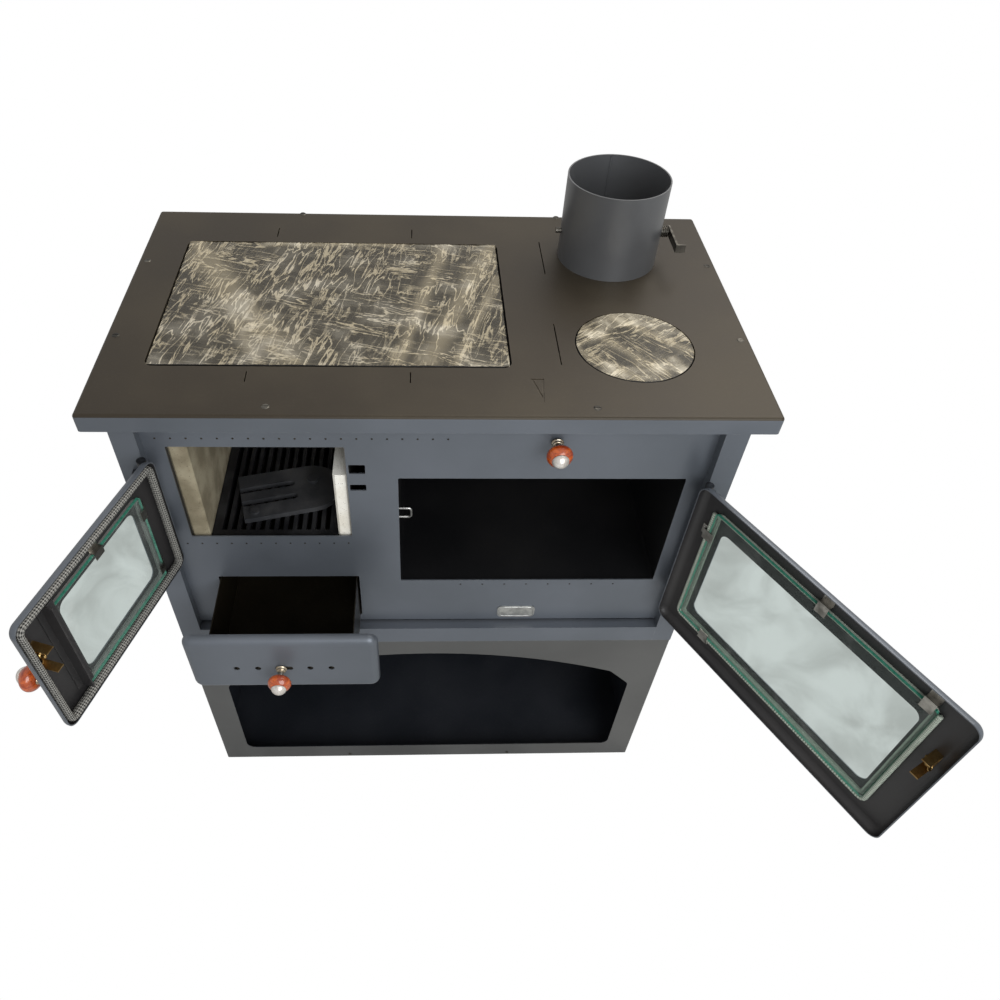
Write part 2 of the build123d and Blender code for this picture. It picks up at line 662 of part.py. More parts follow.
nodes = {
    "base_shell": base_shell,
    "base_rivets": base_rivets,
    "deck_plate": deck_plate,
    "left_side_panel": left_side_panel,
    "right_side_panel": right_side_panel,
    "rear_panel": rear_panel,
    "front_plate": front_plate,
    "badge_plate": badge,
    "top_plate": top_plate,
    "top_screws": top_screws,
    "hob_frame": hob_frame,
    "lid_frame": lid_frame,
    "hob_plate": hob_plate,
    "round_lid": round_lid,
    "flue_collar": flue_collar,
    "damper_spindle": damper_spindle,
    "damper_disc": damper_disc,
    "damper_handle": damper_handle,
    "damper_spring": damper_spring,
    "firebox_case": firebox_case,
    "brick_left": brick_left,
    "brick_right": brick_right,
    "brick_back": brick_back,
    "fire_grate": grate,
    "loose_grate_plate": loose_plate,
    "ash_bay": ash_bay,
    "oven_box": oven_box,
    "oven_loop": oven_loop,
    "bypass_rod": bypass_rod,
    "bypass_flap": bypass_flap,
    "bypass_knob_metal": bypass_knob_metal,
    "bypass_knob_grip": bypass_knob_grip,
    "body_hinge_halves": body_hinge_halves,
    "hinge_pins": hinge_pins,
}
fire_door_pieces = {
    "fire_door_pan": fire_door_pan,
    "fire_door_rope": fire_door_rope,
    "fire_glass": fire_glass,
    "fire_glass_rope": fire_glass_rope,
    "fire_glass_clips": fire_glass_clips,
    "fire_deflector": fire_deflector,
    "fire_catch": fire_catch,
    "fire_catch_bolt": fire_catch_bolt,
    "fire_knob_metal": fire_knob_metal,
    "fire_knob_grip": fire_knob_grip,
    "fire_door_hinges": fire_door_hinges,
}
oven_door_pieces = {
    "oven_door_pan": oven_door_pan,
    "oven_glass": oven_glass,
    "oven_glass_rope": oven_glass_rope,
    "oven_edge_rope": oven_edge_rope,
    "oven_glass_clips": oven_glass_clips,
    "oven_catch": oven_catch,
    "oven_catch_bolt": oven_catch_bolt,
    "oven_knob_metal": oven_knob_metal,
    "oven_knob_grip": oven_knob_grip,
    "oven_door_hinges": oven_door_hinges,
}
drawer_pieces = {
    "ash_box": ash_box,
    "ash_front_pan": ash_front_pan,
    "air_shutter": air_shutter,
    "ash_knob_metal": ash_knob_metal,
    "ash_knob_grip": ash_knob_grip,
}
for name, shape in fire_door_pieces.items():
    nodes[name] = swing(shape, -1, fire_door_open)
for name, shape in oven_door_pieces.items():
    nodes[name] = swing(shape, 1, oven_door_open)
for name, shape in drawer_pieces.items():
    nodes[name] = pull(shape)

os.makedirs("parts", exist_ok=True)
for name, shape in nodes.items():
    export_step(shape, f"parts/{name}.step")
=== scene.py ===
import math

import bpy
from mathutils import Matrix, Vector, noise


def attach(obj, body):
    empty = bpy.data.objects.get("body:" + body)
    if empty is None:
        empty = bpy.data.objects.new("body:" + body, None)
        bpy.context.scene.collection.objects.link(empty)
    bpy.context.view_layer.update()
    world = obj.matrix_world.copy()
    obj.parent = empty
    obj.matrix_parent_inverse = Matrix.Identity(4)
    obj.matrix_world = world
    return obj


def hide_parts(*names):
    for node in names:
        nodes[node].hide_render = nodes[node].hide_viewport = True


# Looks of a wood cook stove with its doors and ash drawer open.
# Sizes below are millimetres in the frame of the CAD model; meshes are written in metres.

MM = 0.001

# hinges and how far each moving piece stands open
hinge_y = -252.5
fire_hinge_x = -367.5
oven_hinge_x = 367.5
fire_door_open = -107.6
oven_door_open = 119.5
drawer_out = 112

# front planes
plate_face = -229
door_face = -245.6
door_floor = -244.1
drawer_face = -242.5

# fire door rope: box of its centre line in X and Z, its depth in Y, half width and half depth
fire_rope_box = (-357, -95, 629, 808)
fire_rope_centre_y = -235.6
fire_rope_half = (4.0, 5.6)
fire_rope_corner = 7

# oven door rope round three sides of the pane, with the same values
oven_rope_box = (-12.5, 336.5, 533.5, 742)
oven_rope_centre_y = -240.6
oven_rope_half = (3.3, 3.3)
oven_rope_corner = 8

# hob plate and round lid
hob_plate_box = (-364.5, 98.5, -155, 155)
lid_centre = (269.5, -107)
lid_radius = 78.5
top = 880

# flue collar
flue_centre = (266.5, 127.5)
flue_inner_radius = 71.7
flue_top = 1002

# where one piece carries two coats, or one coat and painted light: middle of each door's hollow side,
# walls of the wood store, and the top plate's edges, whose top face has painted warm light
fire_door_middle = (-226, 718)
oven_door_middle = (155, 638)
pan_rim_depth = 5
store_half_width = 399
store_half_depth = 244
store_low, store_high = 1, 396
plate_side_edge = 428
plate_front_edge, plate_back_edge = -255, 251


# small maths

def tone(red, green, blue):
    """A colour given as a screen value from 0 to 255, as the linear colour that shaders take."""
    def linear(value):
        share = value / 255
        return share / 12.92 if share <= 0.04045 else ((share + 0.055) / 1.055) ** 2.4
    return (linear(red), linear(green), linear(blue), 1.0)


def turned_about(hinge_x, degrees):
    """The move that swings a closed door's points open."""
    hinge = Vector((hinge_x, hinge_y, 0)) * MM
    turn = Matrix.Rotation(math.radians(degrees), 4, "Z")
    return Matrix.Translation(hinge) @ turn @ Matrix.Translation(-hinge)


FIRE_SWING = turned_about(fire_hinge_x, fire_door_open)
OVEN_SWING = turned_about(oven_hinge_x, oven_door_open)
DRAWER_PULL = Matrix.Translation((0, -drawer_out * MM, 0))
STAYS = Matrix.Identity(4)


# meshes

def add_mesh(name, points, faces, material, move=STAYS, smooth=True, uvs=None):
    """A mesh object at the origin, its points given in millimetres and then moved."""
    mesh = bpy.data.meshes.new(name)
    mesh.from_pydata([move @ (Vector(p) * MM) for p in points], [], faces)
    mesh.validate()
    if uvs:
        layer = mesh.uv_layers.new(name="along")
        for loop in mesh.loops:
            layer.data[loop.index].uv = uvs[loop.vertex_index]
    mesh.polygons.foreach_set("use_smooth", [smooth] * len(mesh.polygons))
    mesh.materials.append(material)
    obj = bpy.data.objects.new(name, mesh)
    bpy.context.scene.collection.objects.link(obj)
    return obj


def lathe(profile, sides=48):
    """Points and faces of a shape turned about Z from (radius, height) pairs, closed at both ends."""
    points = []
    for radius, level in profile:
        for k in range(sides):
            angle = 2 * math.pi * k / sides
            points.append((radius * math.cos(angle), radius * math.sin(angle), level))
    faces = []
    for ring in range(len(profile) - 1):
        for k in range(sides):
            a = ring * sides + k
            b = ring * sides + (k + 1) % sides
            faces.append((a, b, b + sides, a + sides))
    faces.append(tuple(reversed(range(sides))))
    faces.append(tuple(range((len(profile) - 1) * sides, len(profile) * sides)))
    return points, faces


def rounded(profile, steps=3):
    """A (radius, height) outline with its corners cut round by repeated corner cutting."""
    near, far = 0.75, 0.25
    for _ in range(steps):
        cut = [profile[0]]
        for (r0, z0), (r1, z1) in zip(profile, profile[1:]):
            cut.append((near * r0 + far * r1, near * z0 + far * z1))
            cut.append((far * r0 + near * r1, far * z0 + near * z1))
        cut.append(profile[-1])
        profile = cut
    return profile


def facing_front(x, z, back):
    """The move that puts a lathe shape on a front plane, its axis toward the front."""
    place = Matrix.Translation(Vector((x, back, z)) * MM)
    return place @ Matrix.Rotation(math.radians(90), 4, "X")


def rounded_path(box, corner, closed=True, steps=8):
    """Points round a rectangle in X and Z; left open along the top when it isn't closed."""
    x0, x1, z0, z1 = box
    corners = [(x0, z0, 180), (x1, z0, 270), (x1, z1, 0), (x0, z1, 90)]
    path = []
    if not closed:
        path.append((x0, z1))
        corners = corners[:2]
    for x, z, start in corners:
        cx = x + corner if x == x0 else x - corner
        cz = z + corner if z == z0 else z - corner
        for k in range(steps + 1):
            angle = math.radians(start + 90 * k / steps)
            path.append((cx + corner * math.cos(angle), cz + corner * math.sin(angle)))
    if not closed:
        path.append((x1, z1))
    return path


def resampled(path, step, closed):
    """The same path with its points about one step apart, and its length."""
    ends = path + [path[0]] if closed else path
    lengths = [0.0]
    for (xa, za), (xb, zb) in zip(ends, ends[1:]):
        lengths.append(lengths[-1] + math.hypot(xb - xa, zb - za))
    total = lengths[-1]
    count = max(8, round(total / step))
    spots = []
    seg = 0
    for k in range(count if closed else count + 1):
        at = total * k / count
        while seg < len(lengths) - 2 and lengths[seg + 1] < at:
            seg += 1
        span = lengths[seg + 1] - lengths[seg]
        share = (at - lengths[seg]) / span if span else 0
        (xa, za), (xb, zb) = ends[seg], ends[seg + 1]
        spots.append((xa + (xb - xa) * share, za + (zb - za) * share))
    return spots, total


def braided_rope(name, path, centre_y, half, material, move, closed=True, strands=6, lay=15):
    """A rope whose surface bulges where two sets of strands cross; lay is the length of one turn."""
    step = 1.6
    around = 20
    strand_rise, strand_sink = 0.09, 0.06
    spots, total = resampled(path, step, closed)
    count = len(spots)
    points, uvs = [], []
    for k, (x, z) in enumerate(spots):
        before = spots[k - 1] if closed or k else spots[k]
        after = spots[(k + 1) % count] if closed or k < count - 1 else spots[k]
        run = Vector((after[0] - before[0], 0, after[1] - before[1])).normalized()
        side = run.cross(Vector((0, 1, 0)))
        along = total * k / count
        for j in range(around):
            angle = 2 * math.pi * j / around
            turn = 2 * math.pi * along / lay
            one = math.sin(strands * angle / 2 + turn)
            other = math.sin(strands * angle / 2 - turn)
            bulge = 1 + strand_rise * max(abs(one), abs(other)) - strand_sink
            out = side * (half[0] * bulge * math.cos(angle))
            points.append((x + out.x, centre_y + half[1] * bulge * math.sin(angle), z + out.z))
            uvs.append((along / lay, j / around))
    faces = []
    for k in range(count if closed else count - 1):
        for j in range(around):
            a = k * around + j
            b = k * around + (j + 1) % around
            c = ((k + 1) % count) * around + (j + 1) % around
            d = ((k + 1) % count) * around + j
            faces.append((a, d, c, b))
    if not closed:
        faces.append(tuple(range(around)))
        faces.append(tuple(reversed(range((count - 1) * around, count * around))))
    return add_mesh(name, points, faces, material, move, uvs=uvs)


def joined_shapes(shapes):
    """Several (points, faces) lists as one."""
    points, faces = [], []
    for more_points, more_faces in shapes:
        start = len(points)
        points += more_points
        faces += [tuple(start + k for k in face) for face in more_faces]
    return points, faces


# shader groups

def group(name, inputs, outputs):
    """A new shader group with named value, colour or vector sockets."""
    tree = bpy.data.node_groups.new(name, "ShaderNodeTree")
    kinds = {"value": "NodeSocketFloat", "colour": "NodeSocketColor", "vector": "NodeSocketVector"}
    for label, kind, default in inputs:
        socket = tree.interface.new_socket(label, in_out="INPUT", socket_type=kinds[kind])
        if default is not None:
            socket.default_value = default
    for label, kind in outputs:
        tree.interface.new_socket(label, in_out="OUTPUT", socket_type=kinds[kind])
    return tree, tree.nodes.new("NodeGroupInput"), tree.nodes.new("NodeGroupOutput")


def math_node(tree, kind, first, second=None, clamp=False):
    """A maths node; each value is a number or an output socket."""
    node = tree.nodes.new("ShaderNodeMath")
    node.operation = kind
    node.use_clamp = clamp
    for socket, value in zip(node.inputs, (first, second)):
        if isinstance(value, (int, float)):
            socket.default_value = value
        elif value is not None:
            tree.links.new(value, socket)
    return node.outputs[0]


def noise_node(tree, scale, detail=4.0, stretch=(1, 1, 1), turn=(0, 0, 0), coordinates=None, distortion=0.0):
    """Noise in the mesh's own coordinates, so it travels with a moving piece."""
    if coordinates is None:
        coordinates = tree.nodes.new("ShaderNodeTexCoord").outputs["Object"]
    mapping = tree.nodes.new("ShaderNodeMapping")
    mapping.inputs["Scale"].default_value = stretch
    mapping.inputs["Rotation"].default_value = turn
    tree.links.new(coordinates, mapping.inputs["Vector"])
    node = tree.nodes.new("ShaderNodeTexNoise")
    node.inputs["Detail"].default_value = detail
    node.inputs["Distortion"].default_value = distortion
    if isinstance(scale, (int, float)):
        node.inputs["Scale"].default_value = scale
    else:
        tree.links.new(scale, node.inputs["Scale"])
    tree.links.new(mapping.outputs["Vector"], node.inputs["Vector"])
    return node.outputs["Fac"]


def window(tree, value, low, high):
    """0 below low, 1 above high, smooth between."""
    node = tree.nodes.new("ShaderNodeMapRange")
    node.interpolation_type = "SMOOTHSTEP"
    node.inputs["From Min"].default_value = low
    node.inputs["From Max"].default_value = high
    tree.links.new(value, node.inputs["Value"])
    return node.outputs["Result"]


def edge_wear_group():
    """Mask of edges that have been rubbed, broken up by noise."""
    tree, enter, leave = group("Edge wear", [("Width", "value", 0.002), ("Amount", "value", 0.5)],
                               [("Mask", "value")])
    bevel = tree.nodes.new("ShaderNodeBevel")
    tree.links.new(enter.outputs["Width"], bevel.inputs["Radius"])
    geometry = tree.nodes.new("ShaderNodeNewGeometry")
    dot = tree.nodes.new("ShaderNodeVectorMath")
    dot.operation = "DOT_PRODUCT"
    tree.links.new(bevel.outputs["Normal"], dot.inputs[0])
    tree.links.new(geometry.outputs["Normal"], dot.inputs[1])
    edge = math_node(tree, "SUBTRACT", 1.0, dot.outputs["Value"])
    edge = window(tree, edge, 0.02, 0.22)
    patchy = window(tree, noise_node(tree, 90.0), 0.42, 0.62)
    mask = math_node(tree, "MULTIPLY", edge, patchy)
    mask = math_node(tree, "MULTIPLY", mask, enter.outputs["Amount"], clamp=True)
    tree.links.new(mask, leave.inputs["Mask"])
    return tree


def mottle_group():
    """Large soft patches and a fine grain, as values about one half."""
    tree, enter, leave = group("Mottle", [("Scale", "value", 6.0), ("Grain scale", "value", 900.0)],
                               [("Patches", "value"), ("Grain", "value")])
    tree.links.new(noise_node(tree, enter.outputs["Scale"], 5.0), leave.inputs["Patches"])
    tree.links.new(noise_node(tree, enter.outputs["Grain scale"], 2.0), leave.inputs["Grain"])
    return tree


def dust_group():
    """Mask of dust lying on what faces up."""
    tree, enter, leave = group("Dust", [("Amount", "value", 0.2)], [("Mask", "value")])
    geometry = tree.nodes.new("ShaderNodeNewGeometry")
    parts = tree.nodes.new("ShaderNodeSeparateXYZ")
    tree.links.new(geometry.outputs["Normal"], parts.inputs[0])
    flat = window(tree, parts.outputs["Z"], 0.6, 0.98)
    speckle = window(tree, noise_node(tree, 260.0, 6.0), 0.5, 0.8)
    cloud = window(tree, noise_node(tree, 5.0, 3.0), 0.35, 0.75)
    mask = math_node(tree, "MULTIPLY", math_node(tree, "ADD", speckle, cloud), flat)
    mask = math_node(tree, "MULTIPLY", mask, enter.outputs["Amount"], clamp=True)
    tree.links.new(mask, leave.inputs["Mask"])
    return tree


def braid_group():
    """Crossing strands of a braided rope from its length and girth coordinates."""
    tree, enter, leave = group("Braid", [("Strands", "value", 6.0)],
                               [("Crossing", "value"), ("Speckle", "value")])
    parts = tree.nodes.new("ShaderNodeSeparateXYZ")
    tree.links.new(tree.nodes.new("ShaderNodeTexCoord").outputs["UV"], parts.inputs[0])
    length = math_node(tree, "MULTIPLY", parts.outputs["X"], 2 * math.pi)
    girth = math_node(tree, "MULTIPLY", parts.outputs["Y"], math.pi)
    girth = math_node(tree, "MULTIPLY", girth, enter.outputs["Strands"])
    ahead = math_node(tree, "MULTIPLY", math_node(tree, "ADD", girth, length), 2.0)
    behind = math_node(tree, "MULTIPLY", math_node(tree, "SUBTRACT", girth, length), 2.0)
    one = math_node(tree, "SINE", ahead)
    other = math_node(tree, "SINE", behind)
    crossing = math_node(tree, "MULTIPLY", one, other)
    crossing = math_node(tree, "MULTIPLY", math_node(tree, "ADD", crossing, 1.0), 0.5)
    tree.links.new(crossing, leave.inputs["Crossing"])
    tree.links.new(noise_node(tree, 700.0, 3.0), leave.inputs["Speckle"])
    return tree


def grain_group():
    """Growth rings and pores of turned wood."""
    tree, enter, leave = group("Wood grain", [("Scale", "value", 60.0)],
                               [("Rings", "value"), ("Pores", "value")])
    rings = noise_node(tree, enter.outputs["Scale"], 3.0, stretch=(1, 0.35, 3.2), distortion=1.2)
    tree.links.new(window(tree, rings, 0.3, 0.7), leave.inputs["Rings"])
    tree.links.new(noise_node(tree, 900.0, 2.0, stretch=(1, 0.2, 1)), leave.inputs["Pores"])
    return tree


def crinkle_group():
    """Bright creases of a clinging film: fine streaks over broad milky folds."""
    tree, enter, leave = group("Crinkle", [("Lean", "value", 0.3)], [("Streaks", "value"), ("Milk", "value")])
    turn = tree.nodes.new("ShaderNodeCombineXYZ")
    tree.links.new(enter.outputs["Lean"], turn.inputs["Z"])
    spin = tree.nodes.new("ShaderNodeVectorRotate")
    spin.rotation_type = "EULER_XYZ"
    tree.links.new(tree.nodes.new("ShaderNodeTexCoord").outputs["Object"], spin.inputs["Vector"])
    tree.links.new(turn.outputs[0], spin.inputs["Rotation"])
    across = noise_node(tree, 95.0, 5.0, stretch=(1, 0.16, 1), coordinates=spin.outputs[0], distortion=0.6)
    slant = noise_node(tree, 70.0, 6.0, stretch=(0.2, 1, 1), turn=(0, 0, 0.7), coordinates=spin.outputs[0],
                       distortion=0.8)
    where = noise_node(tree, 9.0, 2.0)
    ridge_one = math_node(tree, "ABSOLUTE", math_node(tree, "SUBTRACT", across, 0.5))
    ridge_two = math_node(tree, "ABSOLUTE", math_node(tree, "SUBTRACT", slant, 0.5))
    line_one = math_node(tree, "SUBTRACT", 1.0, window(tree, ridge_one, 0.0, 0.045))
    line_two = math_node(tree, "SUBTRACT", 1.0, window(tree, ridge_two, 0.0, 0.035))
    share = window(tree, where, 0.42, 0.62)
    first = math_node(tree, "MULTIPLY", line_one, math_node(tree, "SUBTRACT", 1.15, share))
    second = math_node(tree, "MULTIPLY", line_two, math_node(tree, "ADD", share, 0.15))
    tree.links.new(math_node(tree, "ADD", first, second, clamp=True), leave.inputs["Streaks"])
    tree.links.new(window(tree, noise_node(tree, 22.0, 5.0), 0.45, 0.75), leave.inputs["Milk"])
    return tree


EDGE_WEAR = edge_wear_group()
MOTTLE = mottle_group()
DUST = dust_group()
BRAID = braid_group()
GRAIN = grain_group()
CRINKLE = crinkle_group()


# materials

class Maker:
    """One material being wired: its tree, its Principled shader and short ways to add to it."""

    def __init__(self, name, roughness, metallic=0.0):
        self.material = bpy.data.materials.new(name)
        self.material.use_nodes = True
        self.tree = self.material.node_tree
        self.shader = self.tree.nodes["Principled BSDF"]
        self.output = self.tree.nodes["Material Output"]
        self.shader.inputs["Roughness"].default_value = roughness
        self.shader.inputs["Metallic"].default_value = metallic

    def use(self, shared, **values):
        """A shared group in this material, with its inputs set."""
        node = self.tree.nodes.new("ShaderNodeGroup")
        node.node_tree = shared
        for label, value in values.items():
            node.inputs[label.replace("_", " ")].default_value = value
        return node

    def mix(self, share, first, second):
        """A colour between two; each is a colour or an output socket."""
        node = self.tree.nodes.new("ShaderNodeMix")
        node.data_type = "RGBA"
        self.tree.links.new(share, node.inputs["Factor"])
        for label, value in (("A", first), ("B", second)):
            socket = [s for s in node.inputs if s.name == label and s.type == "RGBA"][0]
            if isinstance(value, tuple):
                socket.default_value = value
            else:
                self.tree.links.new(value, socket)
        return [s for s in node.outputs if s.type == "RGBA"][0]

    def colour(self, value):
        if isinstance(value, tuple):
            self.shader.inputs["Base Color"].default_value = value
        else:
            self.tree.links.new(value, self.shader.inputs["Base Color"])

    def roughness_between(self, value, low, high):
        node = self.tree.nodes.new("ShaderNodeMapRange")
        node.inputs["To Min"].default_value = low
        node.inputs["To Max"].default_value = high
        self.tree.links.new(value, node.inputs["Value"])
        self.tree.links.new(node.outputs["Result"], self.shader.inputs["Roughness"])

    def bump(self, height, strength, distance):
        node = self.tree.nodes.new("ShaderNodeBump")
        node.inputs["Strength"].default_value = strength
        node.inputs["Distance"].default_value = distance
        self.tree.links.new(height, node.inputs["Height"])
        self.tree.links.new(node.outputs["Normal"], self.shader.inputs["Normal"])


DUST_TONE = tone(176, 166, 150)


def painted(name, dark, light, bare, roughness, dust=0.1, wear=0.5, metallic=0.0, bump=0.12):
    """Heat-proof coat on steel: soft patches, fine grain, rubbed edges and a little dust."""
    make = Maker(name, roughness, metallic)
    mottle = make.use(MOTTLE, Scale=5.0, Grain_scale=1400.0)
    patches = window(make.tree, mottle.outputs["Patches"], 0.3, 0.7)
    coat = make.mix(patches, dark, light)
    worn = make.mix(make.use(EDGE_WEAR, Amount=wear, Width=0.0012).outputs["Mask"], coat, bare)
    make.colour(make.mix(make.use(DUST, Amount=dust).outputs["Mask"], worn, DUST_TONE))
    make.roughness_between(mottle.outputs["Patches"], roughness - 0.1, roughness + 0.14)
    make.bump(mottle.outputs["Grain"], bump, 0.0004)
    return make.material


def bare_metal(name, dark, light, roughness, streak=(1, 1, 1), metallic=1.0, bump=0.1):
    """Uncoated metal with tarnish in patches and drawn lines along one direction."""
    make = Maker(name, roughness, metallic)
    lines = noise_node(make.tree, 700.0, 3.0, stretch=streak)
    tarnish = window(make.tree, noise_node(make.tree, 70.0, 5.0), 0.35, 0.7)
    make.colour(make.mix(tarnish, dark, light))
    make.roughness_between(tarnish, roughness + 0.12, roughness - 0.06)
    make.bump(lines, bump, 0.0003)
    return make.material


def cast_iron(name, dark, light, roughness, grain=420.0):
    """Cast surface: pitted, with brown traces where it is dry."""
    make = Maker(name, roughness, 0.35)
    mottle = make.use(MOTTLE, Scale=18.0, Grain_scale=grain)
    make.colour(make.mix(window(make.tree, mottle.outputs["Patches"], 0.4, 0.7), dark, light))
    make.roughness_between(mottle.outputs["Patches"], roughness - 0.1, roughness + 0.15)
    make.bump(mottle.outputs["Grain"], 0.45, 0.0006)
    return make.material


def fired_brick(name, dark, light):
    """Fire brick: chalky, with crumbs and dark specks."""
    make = Maker(name, 0.92)
    mottle = make.use(MOTTLE, Scale=22.0, Grain_scale=500.0)
    base = make.mix(window(make.tree, mottle.outputs["Patches"], 0.35, 0.65), dark, light)
    specks = window(make.tree, mottle.outputs["Grain"], 0.66, 0.74)
    make.colour(make.mix(specks, base, tone(96, 80, 60)))
    make.bump(mottle.outputs["Grain"], 0.6, 0.0012)
    return make.material


def rope_fibre(name, dark, light):
    """Braided glass-fibre rope, light threads crossing dark ones."""
    make = Maker(name, 0.85)
    braid = make.use(BRAID)
    crossing = window(make.tree, braid.outputs["Crossing"], 0.3, 0.7)
    threads = make.mix(crossing, dark, light)
    make.colour(make.mix(window(make.tree, braid.outputs["Speckle"], 0.55, 0.7), threads, light))
    height = math_node(make.tree, "ADD", braid.outputs["Crossing"], braid.outputs["Speckle"])
    make.bump(height, 0.7, 0.0008)
    return make.material


def varnished_wood():
    """Turned knob wood under a glossy orange varnish."""
    make = Maker("Varnished wood", 0.3)
    grain = make.use(GRAIN)
    rings = make.mix(grain.outputs["Rings"], tone(150, 52, 12), tone(206, 96, 34))
    make.colour(make.mix(window(make.tree, grain.outputs["Pores"], 0.62, 0.7), rings, tone(92, 32, 10)))
    make.shader.inputs["Coat Weight"].default_value = 0.8
    make.shader.inputs["Coat Roughness"].default_value = 0.08
    make.bump(grain.outputs["Pores"], 0.15, 0.0002)
    return make.material


def door_glass():
    """Clear pane with a faint tint and smears."""
    make = Maker("Door glass", 0.03)
    tree = make.tree
    smears = window(tree, noise_node(tree, 16.0, 6.0, distortion=1.5), 0.5, 0.8)
    make.colour(make.mix(smears, tone(188, 196, 194), tone(214, 216, 212)))
    make.roughness_between(smears, 0.02, 0.22)
    clear = tree.nodes.new("ShaderNodeBsdfTransparent")
    clear.inputs["Color"].default_value = tone(240, 245, 243)
    blend = tree.nodes.new("ShaderNodeMixShader")
    facing = tree.nodes.new("ShaderNodeFresnel")
    facing.inputs["IOR"].default_value = 1.45
    share = math_node(tree, "ADD", facing.outputs[0], math_node(tree, "MULTIPLY", smears, 0.08), clamp=True)
    side = tree.nodes.new("ShaderNodeNewGeometry")
    entering = math_node(tree, "SUBTRACT", 1.0, side.outputs["Backfacing"])
    share = math_node(tree, "MULTIPLY", share, entering)
    tree.links.new(share, blend.inputs["Fac"])
    tree.links.new(clear.outputs[0], blend.inputs[1])
    tree.links.new(make.shader.outputs[0], blend.inputs[2])
    tree.links.new(blend.outputs[0], make.output.inputs["Surface"])
    return make.material


def glass_edge():
    """The cut rim of the pane, where the glass looks green."""
    make = Maker("Glass cut edge", 0.2)
    ripple = noise_node(make.tree, 300.0, 3.0)
    make.colour(make.mix(ripple, tone(20, 84, 66), tone(90, 176, 150)))
    make.shader.inputs["Specular IOR Level"].default_value = 0.7
    return make.material


def cling_film(name, lean, cloudy):
    """Packing film stretched over a plate: clear, with bright creases and milky folds."""
    make = Maker(name, 0.22)
    tree = make.tree
    crinkle = make.use(CRINKLE, Lean=lean)
    streaks, milk = crinkle.outputs["Streaks"], crinkle.outputs["Milk"]
    fold = tree.nodes.new("ShaderNodeAttribute")
    fold.attribute_name = "fold"
    fold = fold.outputs["Fac"]
    make.colour(make.mix(milk, tone(206, 192, 162), tone(228, 218, 196)))
    seen = math_node(tree, "MULTIPLY", streaks, 0.55)
    seen = math_node(tree, "ADD", seen, math_node(tree, "MULTIPLY", milk, cloudy))
    seen = math_node(tree, "ADD", seen, math_node(tree, "MULTIPLY", fold, 0.26))
    seen = math_node(tree, "ADD", seen, 0.07, clamp=True)
    clear = tree.nodes.new("ShaderNodeBsdfTransparent")
    blend = tree.nodes.new("ShaderNodeMixShader")
    tree.links.new(seen, blend.inputs["Fac"])
    tree.links.new(clear.outputs[0], blend.inputs[1])
    tree.links.new(make.shader.outputs[0], blend.inputs[2])
    tree.links.new(blend.outputs[0], make.output.inputs["Surface"])
    make.bump(math_node(tree, "ADD", streaks, milk), 0.6, 0.0012)
    return make.material


front_coat = painted("Front coat", tone(98, 103, 110), tone(109, 114, 122), tone(160, 160, 160), 0.36,
                     dust=0.02, metallic=0.45)
base_coat = painted("Base coat", tone(88, 88, 87), tone(98, 98, 97), tone(150, 150, 150), 0.36,
                    dust=0.03, metallic=0.45)
# painted warm light: the top plate has the front's paint, given darker warm-brown tones for how light falls
# on it
top_coat_painted_warm_light = painted("Top coat with painted warm light", tone(51, 43, 31), tone(61, 53, 39), tone(128, 118, 100), 0.46,
                   dust=0.015, metallic=0.3)
rear_coat = painted("Rear coat", tone(56, 57, 58), tone(66, 67, 68), tone(120, 120, 120), 0.5)
flue_coat = painted("Flue coat", tone(100, 101, 103), tone(114, 115, 117), tone(130, 130, 130), 0.33,
                    dust=0.02, metallic=0.55)
door_inside = painted("Door inside", tone(46, 45, 46), tone(58, 56, 56), tone(120, 118, 114), 0.45,
                      dust=0.02, metallic=0.3)
navy_inside = painted("Wood store inside", tone(16, 20, 28), tone(22, 27, 37), tone(40, 46, 56), 0.6,
                      dust=0.02, wear=0.1)
black_liner = painted("Oven liner", tone(8, 8, 11), tone(13, 13, 16), tone(40, 40, 40), 0.55,
                      dust=0.01, wear=0.1)
drawer_coat = painted("Drawer inside coat", tone(38, 34, 27), tone(56, 50, 38), tone(100, 92, 76), 0.3,
                      dust=0.03, metallic=0.7)
fire_steel = painted("Fire steel", tone(34, 33, 32), tone(46, 44, 42), tone(90, 86, 80), 0.6, dust=0.05)
hob_iron = cast_iron("Ground hob iron", tone(20, 20, 20), tone(34, 32, 29), 0.35)
frame_iron = cast_iron("Frame iron", tone(14, 14, 14), tone(24, 23, 22), 0.6)
grate_iron = cast_iron("Grate iron", tone(30, 30, 33), tone(54, 54, 56), 0.45)
plate_iron = cast_iron("Loose plate iron", tone(60, 61, 64), tone(88, 88, 90), 0.4)
pale_brick = fired_brick("Pale brick", tone(232, 226, 212), tone(250, 247, 238))
smoked_brick = fired_brick("Smoked brick", tone(128, 118, 96), tone(166, 156, 132))
screw_steel = bare_metal("Screw steel", tone(70, 68, 64), tone(120, 116, 108), 0.4)
plain_steel = bare_metal("Plain steel", tone(80, 77, 72), tone(126, 122, 114), 0.4, (1, 0.1, 0.1))
hinge_steel = bare_metal("Hinge steel", tone(70, 71, 73), tone(104, 105, 107), 0.42, (1, 1, 0.1))
clip_steel = bare_metal("Clip steel", tone(120, 118, 112), tone(178, 175, 168), 0.32)
loop_steel = bare_metal("Loop steel", tone(120, 120, 118), tone(190, 189, 186), 0.26)
badge_metal = bare_metal("Badge metal", tone(168, 168, 166), tone(208, 208, 204), 0.34, (0.1, 1, 1))
catch_brass = bare_metal("Catch brass", tone(126, 98, 58), tone(190, 158, 104), 0.32)
knob_nickel = bare_metal("Knob nickel", tone(168, 152, 128), tone(226, 218, 204), 0.2)
# light nickel made only half metallic, so its near-white colour is partly painted reflection of the white
# room
cap_nickel_painted_reflection = bare_metal("Cap nickel with painted white reflection", tone(212, 204, 196), tone(244, 240, 234), 0.24, metallic=0.55)
dark_rope = rope_fibre("Door rope", tone(30, 29, 28), tone(150, 148, 142))
